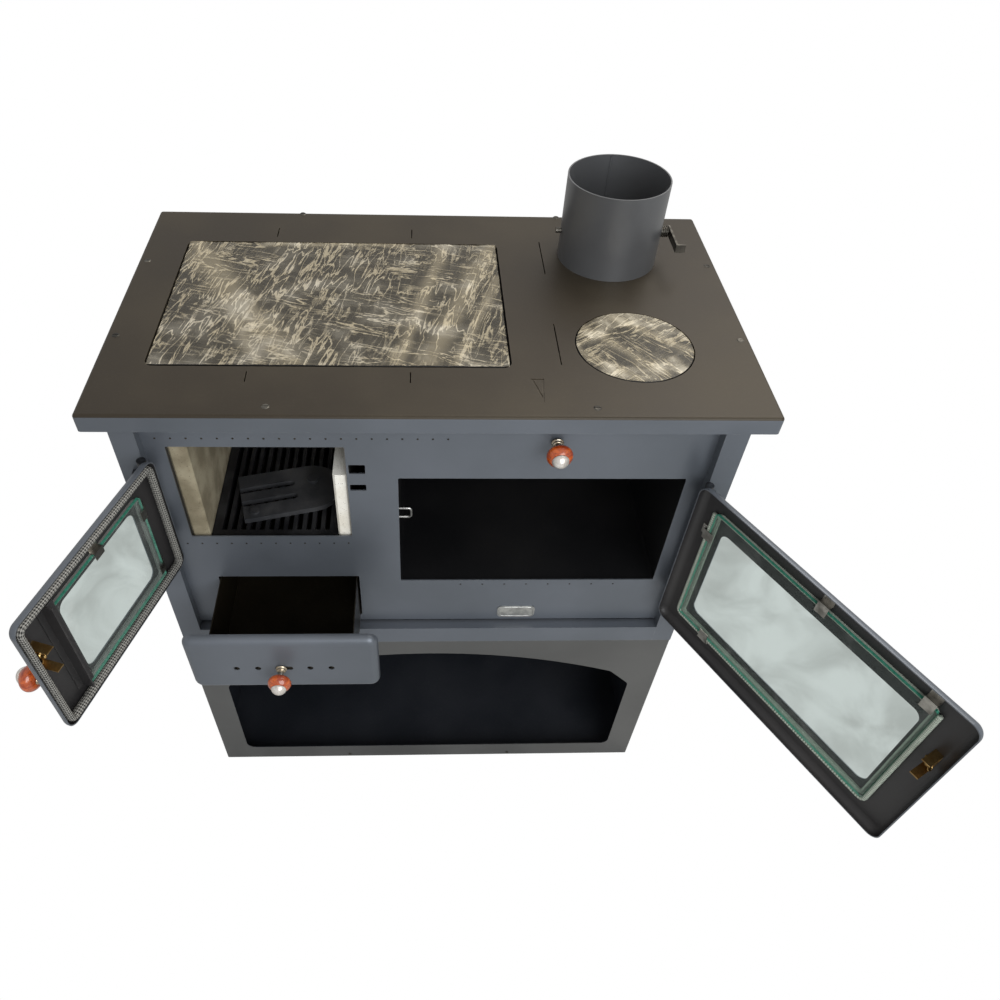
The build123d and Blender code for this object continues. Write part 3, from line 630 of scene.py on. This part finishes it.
pale_rope = rope_fibre("Pane rope", tone(96, 108, 96), tone(196, 204, 190))
flat_rope = rope_fibre("Packing rope", tone(60, 60, 58), tone(150, 150, 146))
wood = varnished_wood()
pane_glass = door_glass()
pane_rim = glass_edge()
hob_film_look = cling_film("Hob film", 0.25, 0.12)
lid_film_look = cling_film("Lid film", 0.9, 0.55)


# CAD nodes

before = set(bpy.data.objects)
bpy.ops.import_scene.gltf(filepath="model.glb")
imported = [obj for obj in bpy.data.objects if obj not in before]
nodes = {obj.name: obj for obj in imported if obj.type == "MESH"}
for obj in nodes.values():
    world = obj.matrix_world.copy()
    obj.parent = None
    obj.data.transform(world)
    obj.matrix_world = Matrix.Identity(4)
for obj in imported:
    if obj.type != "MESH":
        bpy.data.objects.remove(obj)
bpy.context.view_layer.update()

looks = {
    base_coat: ["base_shell"],
    front_coat: ["deck_plate", "left_side_panel", "right_side_panel", "front_plate", "ash_front_pan",
                 "fire_door_pan", "oven_door_pan"],
    rear_coat: ["rear_panel"],
    top_coat_painted_warm_light: ["top_plate"],
    screw_steel: ["top_screws", "base_rivets"],
    flue_coat: ["flue_collar"],
    hob_iron: ["hob_plate", "round_lid"],
    frame_iron: ["hob_frame", "lid_frame"],
    fire_steel: ["firebox_case", "ash_bay", "damper_disc", "bypass_flap"],
    pale_brick: ["brick_right", "brick_back"],
    smoked_brick: ["brick_left"],
    grate_iron: ["fire_grate"],
    plate_iron: ["loose_grate_plate"],
    black_liner: ["oven_box"],
    loop_steel: ["oven_loop"],
    badge_metal: ["badge_plate"],
    hinge_steel: ["body_hinge_halves", "hinge_pins", "fire_door_hinges", "oven_door_hinges"],
    plain_steel: ["damper_spindle", "damper_handle", "damper_spring", "bypass_rod"],
    clip_steel: ["fire_glass_clips", "oven_glass_clips", "fire_catch_bolt", "oven_catch_bolt"],
    catch_brass: ["fire_catch", "oven_catch"],
    door_inside: ["fire_deflector"],
    drawer_coat: ["ash_box", "air_shutter"],
    dark_rope: ["fire_door_rope"],
    flat_rope: ["fire_glass_rope"],
    pale_rope: ["oven_glass_rope", "oven_edge_rope"],
    pane_glass: ["fire_glass", "oven_glass"],
    knob_nickel: ["bypass_knob_metal", "fire_knob_metal", "oven_knob_metal", "ash_knob_metal"],
    wood: ["bypass_knob_grip", "fire_knob_grip", "oven_knob_grip", "ash_knob_grip"],
}
for material, names in looks.items():
    for name in names:
        nodes[name].data.materials.clear()
        nodes[name].data.materials.append(material)
        for polygon in nodes[name].data.polygons:
            polygon.material_index = 0


def repaint(name, material, chosen):
    """Give a second material to the faces of a CAD node that a test picks by centre and normal."""
    mesh = nodes[name].data
    mesh.materials.append(material)
    for polygon in mesh.polygons:
        if chosen(polygon.center / MM, polygon.normal):
            polygon.material_index = len(mesh.materials) - 1


def inside_of_pan(swing, centre_x, centre_z):
    """A test for the hollow side of a door's pan."""
    back = swing.inverted()
    square_on = 0.6

    def chosen(centre, normal):
        spot = (back @ (centre * MM)) / MM
        way = back.to_3x3() @ normal
        if abs(way.y) > square_on:
            return way.y > 0 and spot.y < plate_face - pan_rim_depth
        toward = Vector((centre_x - spot.x, 0, centre_z - spot.z))
        return way.dot(toward) > 0 and spot.y > door_floor
    return chosen


def rim_of_pane(swing):
    """A test for the cut edge of a pane."""
    back = swing.inverted().to_3x3()
    return lambda centre, normal: abs((back @ normal).y) < 0.5


repaint("fire_door_pan", door_inside, inside_of_pan(FIRE_SWING, *fire_door_middle))
repaint("oven_door_pan", door_inside, inside_of_pan(OVEN_SWING, *oven_door_middle))
repaint("fire_glass", pane_rim, rim_of_pane(FIRE_SWING))
repaint("oven_glass", pane_rim, rim_of_pane(OVEN_SWING))
repaint("base_shell", navy_inside, lambda centre, normal: abs(centre.x) < store_half_width
        and abs(centre.y) < store_half_depth and store_low < centre.z < store_high)
repaint("front_plate", fire_steel, lambda centre, normal: normal.y > 0.5)
# the top plate's edges keep the plain front coat; its top face keeps the painted warm light
repaint("top_plate", front_coat, lambda centre, normal: normal.z < 0.3 and (
    abs(centre.x) > plate_side_edge or centre.y < plate_front_edge or centre.y > plate_back_edge))

# rope packings
for name, box, corner, centre_y, half, look, swing, closed, body in (
        ("fire_door_rope", fire_rope_box, fire_rope_corner, fire_rope_centre_y, fire_rope_half,
         dark_rope, FIRE_SWING, True, "fire_door"),
        ("oven_edge_rope", oven_rope_box, oven_rope_corner, oven_rope_centre_y, oven_rope_half,
         pale_rope, OVEN_SWING, False, "oven_door")):
    ring = rounded_path(box, corner, closed)
    rope = braided_rope(f"{name}_braid", ring, centre_y, half, look, swing, closed)
    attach(rope, body)
    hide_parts(name)

# knobs: ferrule with a ring, neck, turned grip and domed cap, as (radius, height) pairs
ferrule_profile = [(0.2, 0), (8.4, 0), (8.4, 1.6), (6.4, 3.2), (7.0, 4.6), (5.0, 6.2),
                   (4.2, 9), (4.6, 14), (6.6, 16.2), (0.2, 16.4)]
grip_profile = [(0.2, 15.6), (7, 15.6), (12, 17.4), (15.8, 20.6), (17.4, 25), (16.2, 29.4),
                (13.2, 33), (10.8, 35.2), (0.2, 35.4)]
cap_profile = [(0.2, 34.6), (10.8, 34.8), (11.0, 36), (9.4, 39), (6.2, 41.8), (2.4, 43.6), (0.2, 43.9)]
bypass_knob_gap = 3
ash_knob_gap = 0.4
# body, name, x, z, y of the knob's back and how it has moved
knobs = (
    ("bypass", "bypass_knob", 159, 818, plate_face - bypass_knob_gap, STAYS),
    ("fire_door", "fire_knob", -104, 692, door_face, FIRE_SWING),
    ("oven_door", "oven_knob", -24, 683, door_face, OVEN_SWING),
    ("air_shutter", "ash_knob", -221, 487, drawer_face - ash_knob_gap, DRAWER_PULL),
)
for body, name, x, z, back, swing in knobs:
    place = swing @ facing_front(x, z, back)
    collar = add_mesh(f"{name}_ferrule", *lathe(rounded(ferrule_profile)), knob_nickel, place)
    cap = add_mesh(f"{name}_cap", *lathe(rounded(cap_profile)), cap_nickel_painted_reflection, place)
    grip = add_mesh(f"{name}_turned_grip", *lathe(rounded(grip_profile)), wood, place)
    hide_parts(f"{name}_metal")
    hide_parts(f"{name}_grip")
    for piece, slot in ((collar, "knob_nickel"), (cap, "knob_nickel"), (grip, "knob_wood")):
        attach(piece, body)

# wing nuts on the catches' studs
stud_profile = [(0.2, 0), (2.4, 0), (2.4, 11), (1.6, 12), (0.2, 12)]
washer_profile = [(0.2, 0), (6, 0), (6, 1.2), (0.2, 1.2)]
nut_profile = [(0.2, 1.2), (4.6, 1.2), (4.2, 4), (3.6, 6.6), (0.2, 6.8)]
# how far the washer stands off the pan's floor
nut_seat = 1.5
# one ear: middle and half size across and up, half thickness, and the slope that starts at its root
ear_middle = (6.6, 5.6)
ear_half = (3.8, 3.6)
ear_half_thickness = 0.8
ear_root = 3
ear_slope = 0.25


def wing(side):
    """One flat ear of a wing nut, leaning out from the nut's side."""
    points, faces = [], []
    count = 14
    for depth in (-ear_half_thickness, ear_half_thickness):
        for k in range(count):
            angle = 2 * math.pi * k / count
            along = ear_middle[0] + ear_half[0] * math.cos(angle)
            rise = ear_middle[1] + ear_half[1] * math.sin(angle) + ear_slope * (along - ear_root)
            points.append((side * along, depth, rise))
    for k in range(count):
        after = (k + 1) % count
        faces.append((k, after, count + after, count + k))
    faces.append(tuple(range(count)))
    faces.append(tuple(reversed(range(count, 2 * count))))
    return points, faces


wing_nut = joined_shapes([lathe(stud_profile, 20), lathe(washer_profile, 28), lathe(nut_profile, 24),
                          wing(1), wing(-1)])
for body, node, x, z, tilt, swing in (
        ("fire_door", "fire_catch_bolt", -105.5, 750, 35, FIRE_SWING),
        ("oven_door", "oven_catch_bolt", -35.5, 679.5, -50, OVEN_SWING)):
    place = Matrix.Translation(Vector((x, door_floor + nut_seat, z)) * MM)
    place = place @ Matrix.Rotation(math.radians(-90), 4, "X")
    turned = Matrix.Rotation(math.radians(tilt), 4, "Z")
    nut = add_mesh(f"{node}_wing_nut", *wing_nut, catch_brass, swing @ place @ turned)
    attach(nut, body)
    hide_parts(node)


# packing film over the hob plate and the round lid

def near_line(x, y, start, end):
    """Distance from a point to a line between two places."""
    a, b, p = Vector(start), Vector(end), Vector((x, y))
    share = max(0.0, min(1.0, (p - a).dot(b - a) / (b - a).length_squared))
    return (p - a - (b - a) * share).length


# gathered folds: two ends and a width each
hob_folds = (((-356, 152), (-224, -152), 9), ((-352, 152), (-178, -152), 13), ((-340, 110), (-206, -120), 20),
             ((20, 152), (-46, -152), 9), ((90, 150), (-8, -152), 14), ((-250, 150), (-40, 152), 6),
             ((96, 60), (30, -150), 7))


def fold_share(x, y, folds):
    """How far a place is in a gathered fold, from 0 to 1."""
    share = 0.0
    raggedness, ragged_scale = 0.7, 0.03
    for start, end, width in folds:
        ragged = 1 + raggedness * noise.noise(Vector((x * ragged_scale, y * ragged_scale, width)))
        share = max(share, math.exp(-(near_line(x, y, start, end) / (width * ragged)) ** 2))
    return share


film_gap = 0.35
fold_rise = 0.9
crease_rise = 0.12
crease_scale = (0.09, 0.03)
crease_layer = 2.0


def add_film(name, spots, faces, folds, material, body):
    """A film lying on a plate, lifted a little along its folds."""
    points, shares = [], []
    for x, y in spots:
        share = fold_share(x, y, folds)
        crease = noise.noise(Vector((x * crease_scale[0], y * crease_scale[1], crease_layer)))
        points.append((x, y, top + film_gap + fold_rise * share + crease_rise * crease))
        shares.append(share)
    film = add_mesh(name, points, faces, material)
    layer = film.data.attributes.new("fold", "FLOAT", "POINT")
    layer.data.foreach_set("value", shares)
    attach(film, body)


x0, x1, y0, y1 = hob_plate_box
columns, rows = 150, 100
spots = [(x0 + (x1 - x0) * i / columns, y0 + (y1 - y0) * j / rows)
         for j in range(rows + 1) for i in range(columns + 1)]
faces = []
for j in range(rows):
    for i in range(columns):
        a = j * (columns + 1) + i
        faces.append((a, a + 1, a + columns + 2, a + columns + 1))
add_film("hob_film", spots, faces, hob_folds, hob_film_look, "hob_plate")

lid_folds = (((200, -60), (300, -170), 8), ((250, -40), (345, -120), 7), ((195, -120), (260, -180), 7))
lid_film_radius = lid_radius - 0.5
rings, spokes = 40, 96
spots = [lid_centre]
for ring in range(1, rings + 1):
    for k in range(spokes):
        angle = 2 * math.pi * k / spokes
        reach = lid_film_radius * ring / rings
        spots.append((lid_centre[0] + reach * math.cos(angle), lid_centre[1] + reach * math.sin(angle)))
faces = [(0, 1 + k, 1 + (k + 1) % spokes) for k in range(spokes)]
for ring in range(rings - 1):
    for k in range(spokes):
        a = 1 + ring * spokes + k
        b = 1 + ring * spokes + (k + 1) % spokes
        faces.append((a, a + spokes, b + spokes, b))
add_film("lid_film", spots, faces, lid_folds, lid_film_look, "round_lid")


# small marks on the sheets

def bead(path, half_width, rise, side):
    """A raised seam along a path; side points out of the surface."""
    points, faces = [], []
    across = 7
    ripple_size, ripple_turn = 0.18, 1.7
    for k, spot in enumerate(path):
        run = (Vector(path[min(k + 1, len(path) - 1)]) - Vector(path[max(k - 1, 0)])).normalized()
        over = run.cross(Vector(side))
        for j in range(across):
            angle = math.pi * j / (across - 1)
            ripple = 1 + ripple_size * math.sin(k * ripple_turn)
            place = Vector(spot) + over * (half_width * math.cos(angle)) + Vector(side) * (
                rise * ripple * math.sin(angle))
            points.append(tuple(place))
    for k in range(len(path) - 1):
        for j in range(across - 1):
            a = k * across + j
            faces.append((a, a + 1, a + across + 1, a + across))
    return points, faces


seam_steps = 60
seam_margin = 1
seam_half_width, seam_rise = 1.8, 0.9
seam_run = flue_top - top - 2 * seam_margin
seam_levels = [top + seam_margin + seam_run * k / seam_steps for k in range(seam_steps + 1)]
seam_path = [(flue_centre[0], flue_centre[1] + flue_inner_radius, level) for level in seam_levels]
seam = add_mesh("flue_weld_seam", *bead(seam_path, seam_half_width, seam_rise, (0, -1, 0)), flue_coat)
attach(seam, "stove")


# rows of spot welds: x of the first one, step, how many, and z
spot_rows = ((-352, 19.5, 20, 821), (-352, 21, 12, 622), (45, 34, 8, 526))
spot_profile = [(0.1, 0), (1.5, 0), (1.1, 0.35), (0.1, 0.45)]


def spot_marks():
    """Rows of shallow spot welds above and below the fire opening and below the oven opening."""
    shapes = []
    places = [(x + step * k, z) for x, step, count, z in spot_rows for k in range(count)]
    for x, z in places:
        points, faces = lathe(spot_profile, 10)
        move = facing_front(x, z, plate_face)
        shapes.append(([tuple((move @ (Vector(p) * MM)) / MM) for p in points], faces))
    return joined_shapes(shapes)


marks = add_mesh("spot_weld_marks", *spot_marks(), drawer_coat)
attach(marks, "stove")


def badge_rim():
    """The raised oval border of the blank badge."""
    centre_x, centre_z, half_x, half_z = 137, 457, 27.5, 11.5
    steps = 64
    flat = 0.45
    half_width, rise, stand_off = 1.2, 0.7, 1.5
    path = []
    for k in range(steps + 1):
        angle = 2 * math.pi * k / steps
        cx, cz = math.cos(angle), math.sin(angle)
        path.append((centre_x + half_x * math.copysign(abs(cx) ** flat, cx), plate_face - stand_off,
                     centre_z + half_z * math.copysign(abs(cz) ** flat, cz)))
    return bead(path, half_width, rise, (0, -1, 0))


rim = add_mesh("badge_border", *badge_rim(), badge_metal)
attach(rim, "stove")

# smooth shading on the round CAD nodes, sharp where two faces meet at an angle
sharp_angle = math.radians(32)
for name, node in nodes.items():
    if node.data.polygons:
        node.data.set_sharp_from_angle(angle=sharp_angle)
        node.data.polygons.foreach_set("use_smooth", [True] * len(node.data.polygons))


# floor, light and camera

def floor_look():
    """Pale stone floor; plain white where the camera sees it directly, stone where it shows through glass."""
    make = Maker("Floor", 0.7)
    tree = make.tree
    patches = window(tree, noise_node(tree, 7.0, 8.0, distortion=0.8), 0.3, 0.7)
    make.colour(make.mix(patches, tone(176, 176, 174), tone(214, 214, 212)))
    stone = tree.nodes.new("ShaderNodeEmission")
    tree.links.new(make.mix(patches, tone(190, 190, 189), tone(224, 225, 225)), stone.inputs["Color"])
    white = tree.nodes.new("ShaderNodeEmission")
    seen = tree.nodes.new("ShaderNodeLightPath")
    through_glass = tree.nodes.new("ShaderNodeMixShader")
    depth = math_node(tree, "MINIMUM", seen.outputs["Transparent Depth"], 1.0)
    tree.links.new(depth, through_glass.inputs["Fac"])
    tree.links.new(white.outputs[0], through_glass.inputs[1])
    tree.links.new(stone.outputs[0], through_glass.inputs[2])
    blend = tree.nodes.new("ShaderNodeMixShader")
    tree.links.new(seen.outputs["Is Camera Ray"], blend.inputs["Fac"])
    tree.links.new(make.shader.outputs[0], blend.inputs[1])
    tree.links.new(through_glass.outputs[0], blend.inputs[2])
    tree.links.new(blend.outputs[0], make.output.inputs["Surface"])
    return make.material


floor_half = 6000
floor_level = -1
floor_corners = [(floor_half * x, floor_half * y, floor_level)
                 for x, y in ((-1, -1), (1, -1), (1, 1), (-1, 1))]
floor = add_mesh("floor", floor_corners, [(0, 1, 2, 3)], floor_look(), smooth=False)

world = bpy.data.worlds.new("Room")
bpy.context.scene.world = world
world.use_nodes = True
sky = world.node_tree.nodes["Background"]
path_kind = world.node_tree.nodes.new("ShaderNodeLightPath")
level = world.node_tree.nodes.new("ShaderNodeMapRange")
ambient = 0.58
level.inputs["To Min"].default_value = ambient
level.inputs["To Max"].default_value = 1.0
world.node_tree.links.new(path_kind.outputs["Is Camera Ray"], level.inputs["Value"])
world.node_tree.links.new(level.outputs["Result"], sky.inputs["Strength"])
sky.inputs["Color"].default_value = (1, 1, 1, 1)


def add_lamp(name, place, aim, width, power, colour):
    """A square lamp at a place, turned to shine on a point."""
    data = bpy.data.lights.new(name, "AREA")
    data.size = width
    data.energy = power
    data.color = colour
    lamp = bpy.data.objects.new(name, data)
    lamp.location = place
    lamp.rotation_euler = (Vector(aim) - Vector(place)).to_track_quat("-Z", "Y").to_euler()
    bpy.context.scene.collection.objects.link(lamp)


add_lamp("window_light", place=(1.3, 1.1, 3.2), aim=(0, 0, 0.8), width=2.2, power=46,
         colour=(1.0, 0.96, 0.90))
add_lamp("room_light", place=(0.9, -2.4, 1.9), aim=(0, 0, 0.5), width=1.8, power=45,
         colour=(0.95, 0.98, 1.0))

# the camera, in metres; its lens and shift are shares of the picture's width
camera_place = (-0.01933, -1.02137, 1.51039)
yaw = math.radians(3.48)
pitch = math.radians(48.09)
roll = math.radians(-2.50)
focal_share = 0.81611
forward = Vector((math.sin(yaw) * math.cos(pitch), math.cos(yaw) * math.cos(pitch), -math.sin(pitch)))
level_right = Vector((math.cos(yaw), -math.sin(yaw), 0))
level_down = forward.cross(level_right)
right = math.cos(roll) * level_right + math.sin(roll) * level_down
down = -math.sin(roll) * level_right + math.cos(roll) * level_down
data = bpy.data.cameras.new("photo_camera")
data.sensor_width = 36
data.lens = focal_share * data.sensor_width
data.shift_x = 0.04812
data.shift_y = 0.04121
data.clip_start = 0.01
camera = bpy.data.objects.new("photo_camera", data)
bpy.context.scene.collection.objects.link(camera)
axes = Matrix((right, -down, -forward)).transposed()
camera.matrix_world = Matrix.Translation(camera_place) @ axes.to_4x4()
bpy.context.scene.camera = camera
bpy.context.scene.view_settings.view_transform = "Standard"
